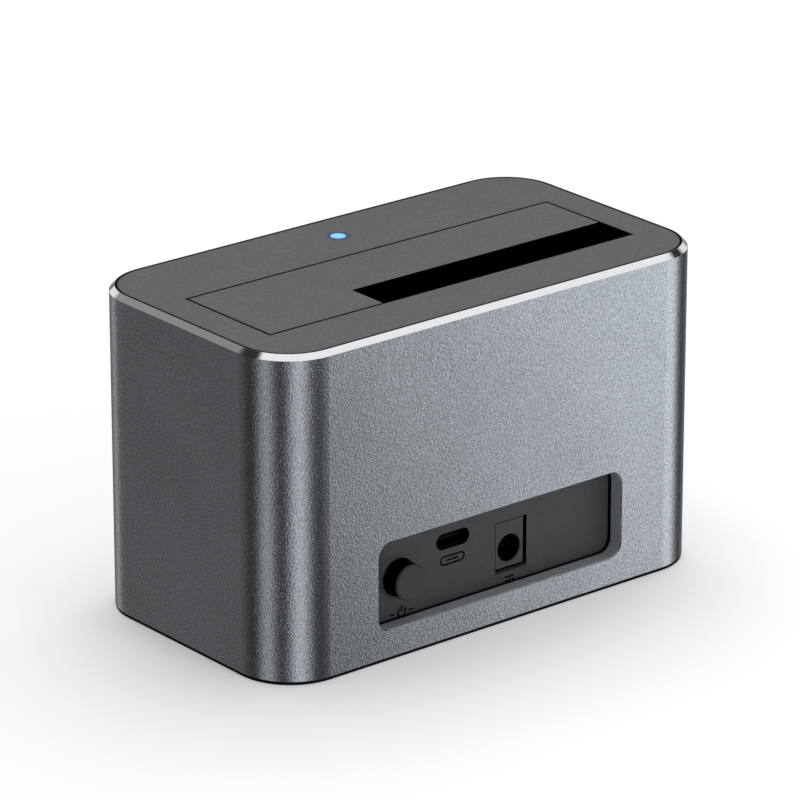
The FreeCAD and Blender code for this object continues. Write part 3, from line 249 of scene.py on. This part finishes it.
# ---------------------------------------------------------------- materials
def anodised_aluminium():
    """Bead-blasted and anodised, with a bright cut chamfer on top and pale walls in the window. The
    faces in the gap under the bezel are painted in shade, near black.
    """
    made = Recipe("anodised_aluminium")
    base = (0.212, 0.226, 0.240)
    bright = (0.80, 0.81, 0.82)
    wall = (0.30, 0.32, 0.34)
    x, y, z = made.split(made.where)
    facing = made.facing()
    high = made.math("GREATER_THAN", z, CASE_HIGH.z - CHAMFER_DEPTH)
    flat = made.math("GREATER_THAN", facing[2], FLAT)
    tilted = made.math("SUBTRACT", made.math("GREATER_THAN", facing[2], CHAMFER_TILT), flat)
    cut_edge = made.math("MULTIPLY", high, tilted)
    sideways = made.math("LESS_THAN", made.math("ABSOLUTE", facing[1]), SIDEWAYS)
    near_window = made.math("LESS_THAN", made.math("ABSOLUTE", x), WINDOW_REACH)
    in_window = made.math("MULTIPLY", sideways, near_window)
    blasted = made.math("SUBTRACT", 1.0, made.math("MAXIMUM", cut_edge, in_window))
    # The sleeve's flat tops and inward faces near its top, in the gap under the bezel, are painted in
    # shade.
    outward = made.math("ADD", made.math("MULTIPLY", facing[0], x),
                        made.math("MULTIPLY", facing[1], y))
    gap_painted_shade = made.math("MULTIPLY", made.math("GREATER_THAN", z, CASE_HIGH.z - GAP_DEPTH),
                       made.math("MAXIMUM", flat, made.math("LESS_THAN", outward, 0.0)))
    grain = made.noise(0.40 * MM, 2.0, 0.6)
    drift = made.noise(22 * MM, 3.0)
    sparkle = made.math("MULTIPLY", made.math("SUBTRACT", grain, 0.5), blasted)
    cloudy = made.spread(drift, 0.44, 0.56, 0.3, 0.7)
    tone = made.math("ADD", made.math("MULTIPLY", sparkle, 1.8), cloudy)
    dull = made.between(tone, shade(base, 0.55), shade(base, 1.45))
    pale = made.between(in_window, dull, shade(wall, 1.0))
    pale = made.between(gap_painted_shade, pale, shade(wall, PAINTED_SHADE_TINT))
    made.colour(made.between(cut_edge, pale, shade(bright, 1.0)))
    cut_rough = made.spread(made.noise(3 * MM), 0.06, 0.11)
    dull_rough = made.math("ADD", made.spread(drift, 0.21, 0.25),
                           made.math("MULTIPLY", in_window, 0.35))
    made.rough(made.math("ADD", made.math("MULTIPLY", cut_rough, cut_edge),
                         made.math("MULTIPLY", dull_rough, made.math("SUBTRACT", 1.0, cut_edge))))
    made.feed(made.shader.inputs["Metallic"], made.spread(in_window, 1.0, 0.3))
    made.normal(made.bump(made.math("MULTIPLY", grain, blasted), 0.12 * MM, 0.6))
    return made.material


def shell_shadows(made):
    """Painted shade on the bezel's and the door's edges beside the gaps, and a painted blue glow of the
    light on the edge of its hole.
    """
    x, y, _ = made.split(made.where)
    door = NODES["bay_door"].data.vertices
    top = max(corner.co.z for corner in door) - SOFT
    rim = [corner.co for corner in door if corner.co.z > top]
    low = [min(corner[axis] for corner in rim) - DOOR_GAP / 2 for axis in (0, 1)]
    high = [max(corner[axis] for corner in rim) + DOOR_GAP / 2 for axis in (0, 1)]
    off = made.math("ABSOLUTE", made.outside(x, y, low, high))
    # Painted shade on both sides of the door's gap, and along the bezel's outer edge.
    seam = made.spread(off, 1.0, 0.0, DOOR_SEAM - SOFT, DOOR_SEAM)
    low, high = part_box("top_bezel")
    off = made.outside(x, y, low, high, CORNER_RADIUS - (CASE_HIGH.x - high.x))
    edge = made.spread(off, 0.0, 1.0, -BEZEL_EDGE - SOFT, -BEZEL_EDGE)
    low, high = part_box("led_light_pipe")
    off = made.outside(x, y, low, high, (high.x - low.x) / 2)
    # A painted blue glow of the light round the hole for the light pipe.
    halo = made.spread(off, 1.0, 0.0, LED_HALO - SOFT, LED_HALO)
    return [(made.math("MAXIMUM", seam, edge), NEAR_BLACK), (halo, LIGHT_HALO)]


def panel_shadows(made):
    """Painted shade on the panel behind the window's edge, and below the jack that stands out of it and
    a little past its right side.
    """
    x, _, z = made.split(made.where)
    painted_shade = made.spread(made.outside(x, z, *WINDOW, WINDOW_RADIUS), 0.0, 1.0, -SOFT, 0.0)
    low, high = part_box("dc_jack_housing")
    near, far = (low.x, low.z - JACK_SHADOW), (high.x + JACK_BESIDE, low.z + JACK_SHADOW)
    below = made.spread(made.outside(x, z, near, far), 1.0, 0.0, 0.0, SOFT)
    return [(made.math("MAXIMUM", painted_shade, below), NEAR_BLACK)]


def moulded_plastic(name, colour, roughness, grain, depth, fleck=0.05, sheen=0.45,
                    unshaded_side=None, shadows=None):
    """Matt moulded plastic: a fine spark-eroded grain, slight unevenness of tone and sheen.

    The side that is named, "top" or "front", keeps its colour. Every other face, as in slots, gaps, the
    button's flank and the jack's bore, is painted in shade: near black, metallic and rough so that it
    mirrors little. shadows gives pairs of an amount and the tint that it brings."""
    made = Recipe(name, Specular_IOR_Level=sheen)
    fine = made.noise(grain, 2.0, 0.6)
    drift = made.noise(30 * MM, 3.0)
    tone = made.math("ADD", made.math("MULTIPLY", fine, 0.75), made.math("MULTIPLY", drift, 0.25))
    tinted = made.between(tone, shade(colour, 1 - 2 * fleck), shade(colour, 1 + 2 * fleck))
    uneven = made.spread(drift, roughness - 0.05, roughness + 0.05)
    # Faces turned away from the named side are painted in shade.
    if unshaded_side:
        facing = made.facing()
        toward = facing[2] if unshaded_side == "top" else made.math("MULTIPLY", facing[1], -1.0)
        painted_shade = made.math("LESS_THAN", toward, 0.5)
        tinted = made.between(painted_shade, tinted, shade(colour, PAINTED_SHADE_TINT))
        made.feed(made.shader.inputs["Metallic"], painted_shade)
        uneven = made.math("MAXIMUM", uneven, made.math("MULTIPLY", painted_shade, 0.9))
    if shadows:
        for amount, tint in shadows(made):
            tinted = made.between(amount, tinted, tint)
    made.colour(tinted)
    made.rough(uneven)
    made.normal(made.bump(fine, depth, 0.6))
    return made.material


def plated_metal(name, colour, roughness, scratch=0.4 * MM):
    """Plated sheet or turned metal with faint handling marks."""
    made = Recipe(name, Metallic=1.0)
    marks = made.noise(scratch, 4.0, 0.6)
    drift = made.noise(6 * MM, 2.0)
    made.colour(made.between(drift, shade(colour, 0.88), shade(colour, 1.04)))
    made.rough(made.spread(marks, roughness - 0.06, roughness + 0.12))
    made.normal(made.bump(marks, 0.004 * MM, 0.4))
    return made.material


def circuit_board():
    """Green solder mask over copper runs, with a faint weave."""
    made = Recipe("circuit_board", Coat_Weight=0.4, Coat_Roughness=0.2)
    black, white = (0.0, 0.0, 0.0, 1.0), (1.0, 1.0, 1.0, 1.0)
    grid = made.node("ShaderNodeTexBrick", Vector=made.where, Scale=90.0, Mortar_Size=0.06,
                     Color1=black, Color2=black, Mortar=white)
    patches = made.spread(made.noise(5 * MM), 0.0, 1.0, 0.45, 0.55)
    runs = made.math("MULTIPLY", grid.outputs["Fac"], patches)
    made.colour(made.between(runs, (0.010, 0.075, 0.035, 1.0), (0.030, 0.150, 0.070, 1.0)))
    made.rough(made.spread(made.noise(0.6 * MM), 0.30, 0.42))
    made.normal(made.bump(runs, 0.03 * MM, 0.5))
    return made.material


def lit_lens():
    """The clear light pipe, lit blue from below and brightest at its middle."""
    made = Recipe("led_lens", Roughness=0.25, Coat_Weight=0.3)
    x, y, _ = made.split(made.where)
    low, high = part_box("led_light_pipe")
    off_y = made.math("SUBTRACT", y, middle(low, high).y)
    squares = [made.math("MULTIPLY", value, value) for value in (x, off_y)]
    reach = made.math("SQRT", made.math("ADD", *squares))
    rim = (high.x - low.x) / 2
    glow = made.spread(reach, 1.0, 0.0, LIGHT_CORE * rim, rim)
    mottled = made.math("MULTIPLY", glow, made.spread(made.noise(0.5 * MM), 0.92, 1.06))
    made.colour(made.between(mottled, LIGHT_EDGE, LIGHT_MIDDLE))
    lit = made.between(mottled, LIGHT_EDGE, LIGHT_LIT)
    made.feed(made.shader.inputs["Emission Color"], lit)
    made.shader.inputs["Emission Strength"].default_value = LIGHT_STRENGTH
    return made.material


def floor_material():
    """A plain pale floor that keeps the shadow. Under the case it is painted near black, a painted
    shadow that shows in the thin gap below the case.
    """
    made = Recipe("floor", Roughness=0.9, Specular_IOR_Level=0.1)
    drift = made.noise(0.5)
    pale = made.between(drift, shade(FLOOR_COLOUR, 0.995), shade(FLOOR_COLOUR, 1.005))
    x, y, _ = made.split(made.where)
    # Painted shadow: near black inside the case's outline, fading to pale at the outline, with no glow
    # there.
    off = made.outside(x, y, CASE_LOW, CASE_HIGH, CORNER_RADIUS)
    open_floor = made.spread(off, 0.0, 1.0, -UNDER_CASE, 0.0)
    made.colour(made.between(open_floor, NEAR_BLACK, pale))
    path = made.node("ShaderNodeLightPath")
    seen = made.math("MAXIMUM", path.outputs["Is Camera Ray"], path.outputs["Is Glossy Ray"])
    seen = made.math("MAXIMUM", seen, path.outputs["Is Transmission Ray"])
    lift = made.node("ShaderNodeEmission", Color=(1.0, 1.0, 1.0, 1.0))
    shown = made.math("MULTIPLY", seen, open_floor)
    made.feed(lift.inputs["Strength"], made.math("MULTIPLY", shown, FLOOR_LIFT))
    total = made.node("ShaderNodeAddShader")
    made.tree.links.new(made.shader.outputs[0], total.inputs[0])
    made.tree.links.new(lift.outputs[0], total.inputs[1])
    output = made.tree.nodes["Material Output"]
    made.tree.links.new(total.outputs[0], output.inputs["Surface"])
    return made.material


# ---------------------------------------------------------------- pieces
def add_object(name, data):
    made = bpy.data.objects.new(name, data)
    bpy.context.scene.collection.objects.link(made)
    return made


def add_floor():
    mesh = bpy.data.meshes.new("floor")
    sheet = bmesh.new()
    bmesh.ops.create_grid(sheet, x_segments=16, y_segments=16, size=FLOOR_RADIUS)
    sheet.to_mesh(mesh)
    sheet.free()
    floor = add_object("floor", mesh)
    floor.data.materials.append(floor_material())
    floor.visible_glossy = False


def dress(node, material):
    """Gives a CAD node its finish, and smooth shading on its round faces."""
    item = NODES[node]
    item.data.materials.clear()
    item.data.materials.append(material)
    item.data.polygons.foreach_set("use_smooth", [True] * len(item.data.polygons))
    item.data.set_sharp_from_angle(angle=math.radians(SHARP_ANGLE))


def dress_all():
    shell = moulded_plastic("black_shell_plastic", (0.077, 0.077, 0.078), 0.58, 0.70 * MM,
                            0.012 * MM, fleck=0.34, unshaded_side="top", shadows=shell_shadows)
    # Black plastic, darkened further as painted shade where the cradle shows through the door's slot.
    frame_plastic = moulded_plastic("frame_plastic", (0.006, 0.006, 0.006), 0.70, 0.5 * MM,
                                    0.010 * MM, sheen=0.15)
    panel_finish = {"colour": (0.046, 0.046, 0.046), "roughness": 0.50, "grain": 0.55 * MM,
                    "depth": 0.010 * MM, "fleck": 0.18, "sheen": 0.15, "unshaded_side": "front"}
    panel = moulded_plastic("panel_plastic", shadows=panel_shadows, **panel_finish)
    jack = moulded_plastic("jack_plastic", **panel_finish)
    button = moulded_plastic("button_plastic", (0.028, 0.028, 0.028), 0.46, 0.20 * MM,
                             0.006 * MM, sheen=0.2, unshaded_side="front")
    # Black plastic, darkened further as painted shade in the USB-C hole.
    connector_and_shade = moulded_plastic("connector_plastic", (0.0035, 0.0035, 0.0035), 0.60, 0.4 * MM,
                                0.008 * MM, sheen=0.04)
    epoxy = moulded_plastic("chip_epoxy", (0.022, 0.022, 0.024), 0.62, 0.15 * MM, 0.008 * MM)
    ferrite = moulded_plastic("ferrite", (0.055, 0.055, 0.058), 0.75, 0.20 * MM, 0.020 * MM)
    rubber = moulded_plastic("foot_rubber", (0.016, 0.016, 0.016), 0.85, 0.6 * MM, 0.030 * MM)
    tin = plated_metal("tinned_metal", (0.74, 0.74, 0.72), 0.28)
    gilt = plated_metal("gilt_contacts", (0.85, 0.62, 0.28), 0.22)
    zinc = plated_metal("zinc_steel", (0.60, 0.60, 0.60), 0.30)
    # Black nickel darkened to near black: painted shade inside the USB-C and DC jack holes.
    black_nickel = plated_metal("black_nickel", (0.0035, 0.0034, 0.0033), 0.55)
    finishes = (
        (anodised_aluminium(), ["outer_sleeve"]),
        (shell, ["top_bezel", "bay_door"]),
        (frame_plastic, ["drive_cradle", "base_plate"]),
        (panel, ["port_panel"]),
        (jack, ["dc_jack_housing"]),
        (button, ["power_button"]),
        (connector_and_shade, ["sata_receptacle", "switch_plunger", "push_switch_body", "usb_c_tongue"]),
        (epoxy, ["bridge_chip", "flash_chip", "voltage_regulator", "chip_resistors"]),
        (ferrite, ["power_inductors"]),
        (rubber, ["rubber_feet"]),
        (tin, ["clock_crystal", "electrolytic_capacitors", "switch_pins", "dc_jack_tails"]),
        (black_nickel, ["usb_c_shell", "dc_jack_pin", "dc_jack_spring"]),
        (gilt, ["sata_contacts", "usb_c_contacts"]),
        (zinc, ["door_hinge_rod", "door_springs", "base_screws"]),
        (lit_lens(), ["status_led", "led_light_pipe"]),
        (circuit_board(), ["main_pcb"]))
    for material, nodes in finishes:
        for node in nodes:
            dress(node, material)


def add_sign(name, strips):
    """Small flat marks on the panel's face. Each strip is a band between two rows of x, z."""
    sheet = bmesh.new()
    front = PANEL_LOW.y - SIGN_PROUD
    for outer, inner in strips:
        corners = [[sheet.verts.new((x, front, z)) for x, z in side] for side in (outer, inner)]
        for here, there in zip(range(len(outer) - 1), range(1, len(outer))):
            sheet.faces.new((corners[0][here], corners[0][there], corners[1][there], corners[1][here]))
    bmesh.ops.remove_doubles(sheet, verts=sheet.verts, dist=SIGN_PROUD / 100)
    deep = bmesh.ops.extrude_face_region(sheet, geom=sheet.faces[:])["geom"]
    moved = [item for item in deep if isinstance(item, bmesh.types.BMVert)]
    bmesh.ops.translate(sheet, verts=moved, vec=(0.0, 2 * SIGN_PROUD, 0.0))
    bmesh.ops.recalc_face_normals(sheet, faces=sheet.faces)
    mesh = bpy.data.meshes.new(name)
    sheet.to_mesh(mesh)
    sheet.free()
    sign = add_object(name, mesh)
    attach(sign, "housing")
    return sign


def bar(x, z, length, height):
    """A solid bar about x, z."""
    left, right = x - length / 2, x + length / 2
    top, bottom = z + height / 2, z - height / 2
    return ([(left, top), (right, top)], [(left, bottom), (right, bottom)])


def arc(x, z, radius, stroke, start, end, steps=28):
    """A band of a circle about x, z, from one angle to another, in degrees."""
    turns = [math.radians(start + (end - start) * step / steps) for step in range(steps + 1)]
    return tuple([(x + far * math.cos(turn), z + far * math.sin(turn)) for turn in turns]
                 for far in (radius + stroke / 2, radius - stroke / 2))


def power_symbol(x, z):
    """A ring open at its top, a bar in the opening, and a dash on each side."""
    ring, length, rise = 1.05 * MM, 1.3 * MM, 0.85 * MM
    dash, aside = 1.1 * MM, 2.6 * MM
    strips = [arc(x, z, ring, SIGN_STROKE, 125, 415), bar(x, z + rise, SIGN_STROKE, length)]
    return strips + [bar(x + side * aside, z, dash, SIGN_STROKE) for side in (-1, 1)]


def plug_outline(x, z):
    """A slot with round ends, and a bar along its middle."""
    half, reach, tongue = 0.95 * MM, 2.4 * MM, 3.4 * MM
    strips = [arc(x - reach, z, half, SIGN_STROKE, 90, 270, 14),
              arc(x + reach, z, half, SIGN_STROKE, -90, 90, 14)]
    strips += [bar(x, z + side * half, 2 * reach, SIGN_STROKE) for side in (-1, 1)]
    return strips + [bar(x, z, tongue, SIGN_STROKE)]


def direct_current(x, z):
    """A line over three dashes."""
    line, dash, pitch, rise = 2.6 * MM, 0.7 * MM, 0.95 * MM, 0.45 * MM
    dashes = [bar(x + step * pitch, z - rise, dash, SIGN_STROKE) for step in (-1, 0, 1)]
    return [bar(x, z + rise, line, SIGN_STROKE)] + dashes


def add_signs():
    """Plain symbols on the panel, one by each control."""
    ink = moulded_plastic("sign_ink", (0.0015, 0.0015, 0.0015), 0.7, 0.2 * MM, 0.004 * MM, sheen=0.05)
    signs = {"power_sign": power_symbol(*POWER_SIGN), "usb_sign": plug_outline(*USB_SIGN),
             "dc_sign": direct_current(*DC_SIGN)}
    for name, strips in signs.items():
        add_sign(name, strips).data.materials.append(ink)


# ---------------------------------------------------------------- what the metal mirrors
def box_glow(made, angle, centre, half, level):
    """A soft box's light at an azimuth, fading over its edge."""
    turned = made.math("SUBTRACT", angle, math.radians(centre))
    wrapped = made.node("ShaderNodeMath", {"operation": "WRAP"})
    made.feed(wrapped.inputs[0], turned)
    made.feed(wrapped.inputs[1], math.pi)
    made.feed(wrapped.inputs[2], -math.pi)
    away = made.math("ABSOLUTE", wrapped.outputs[0])
    inner, outer = (math.radians(half + side * BOX_EDGE / 2) for side in (-1, 1))
    return made.spread(away, level, 0.0, inner, outer)


def climb(made, z, elevation):
    """From 0 below an elevation, in degrees, to 1 above it."""
    low, high = (math.sin(math.radians(elevation + side * BOX_EDGE / 3)) for side in (-1, 1))
    return made.spread(z, 0.0, 1.0, low, high)


def set_world():
    """An even, dim light, and the studio that metal mirrors: low soft boxes and high ones."""
    world = bpy.data.worlds.new("studio")
    world.use_nodes = True
    made = Tree(world.node_tree)
    x, y, z = made.split(made.node("ShaderNodeTexCoord").outputs["Generated"])
    azimuth = made.math("ARCTAN2", y, x)
    low = DIM
    for centre, half, level in LOW_BOXES:
        low = made.math("ADD", low, box_glow(made, azimuth, centre, half, level - DIM))
    high = HIGH_DIM
    for centre, half, lowest, highest, level in HIGH_BOXES:
        glow = box_glow(made, azimuth, centre, half, level - HIGH_DIM)
        glow = made.math("MULTIPLY", glow, climb(made, z, lowest))
        if highest < 90:
            below = made.math("SUBTRACT", 1.0, climb(made, z, highest))
            glow = made.math("MULTIPLY", glow, below)
        high = made.math("ADD", high, glow)
    rise = climb(made, z, HORIZON)
    low = made.math("MULTIPLY", low, made.math("SUBTRACT", 1.0, rise))
    high = made.math("MULTIPLY", high, rise)
    path = made.node("ShaderNodeLightPath").outputs
    mirrored = made.spread(path["Is Glossy Ray"], AMBIENT, made.math("ADD", low, high))
    background = made.tree.nodes["Background"]
    made.feed(background.inputs["Strength"], made.math("MAXIMUM", mirrored, path["Is Camera Ray"]))
    background.inputs["Color"].default_value = (0.98, 0.99, 1.0, 1.0)
    world.cycles.sampling_method = "NONE"
    bpy.context.scene.world = world


def add_card():
    """A light card that only the glossy surfaces see; its brightness climbs across it."""
    left, right = CARD_SIDES
    low, high = CARD_HEIGHTS
    corners = [(left, 0.0, low), (right, 0.0, low), (right, 0.0, high), (left, 0.0, high)]
    mesh = bpy.data.meshes.new("light_card")
    mesh.from_pydata(corners, [], [(0, 1, 2, 3)])
    card = add_object("light_card", mesh)
    turn = math.radians(CARD_AZIMUTH)
    card.location = (CARD_DISTANCE * math.cos(turn), CARD_DISTANCE * math.sin(turn), 0.0)
    card.rotation_euler = (0.0, 0.0, turn + math.pi / 2)
    made = Recipe("light_card")
    x, _, z = made.split(made.where)
    lean = made.math("MULTIPLY", made.math("SUBTRACT", z, CARD_MIDDLE), CARD_LEAN)
    rise = made.spread(made.math("ADD", x, lean), 0.0, 1.0, *CARD_RISE)
    glow = made.math("MINIMUM", rise, made.spread(x, 0.0, 1.0, *CARD_FALL))
    lamp = made.node("ShaderNodeEmission", Color=(0.98, 0.99, 1.0, 1.0))
    made.feed(lamp.inputs["Strength"], made.spread(glow, *CARD_LEVELS))
    made.tree.links.new(lamp.outputs[0], made.tree.nodes["Material Output"].inputs["Surface"])
    made.tree.nodes.remove(made.shader)
    made.material.cycles.emission_sampling = "NONE"
    mesh.materials.append(made.material)
    for ray in ("camera", "diffuse", "transmission", "volume_scatter", "shadow"):
        setattr(card, "visible_" + ray, False)


add_camera()
add_floor()
add_lamps()
add_card()
set_world()
dress_all()
add_signs()

bpy.context.scene.view_settings.view_transform = "Standard"
bpy.context.view_layer.update()
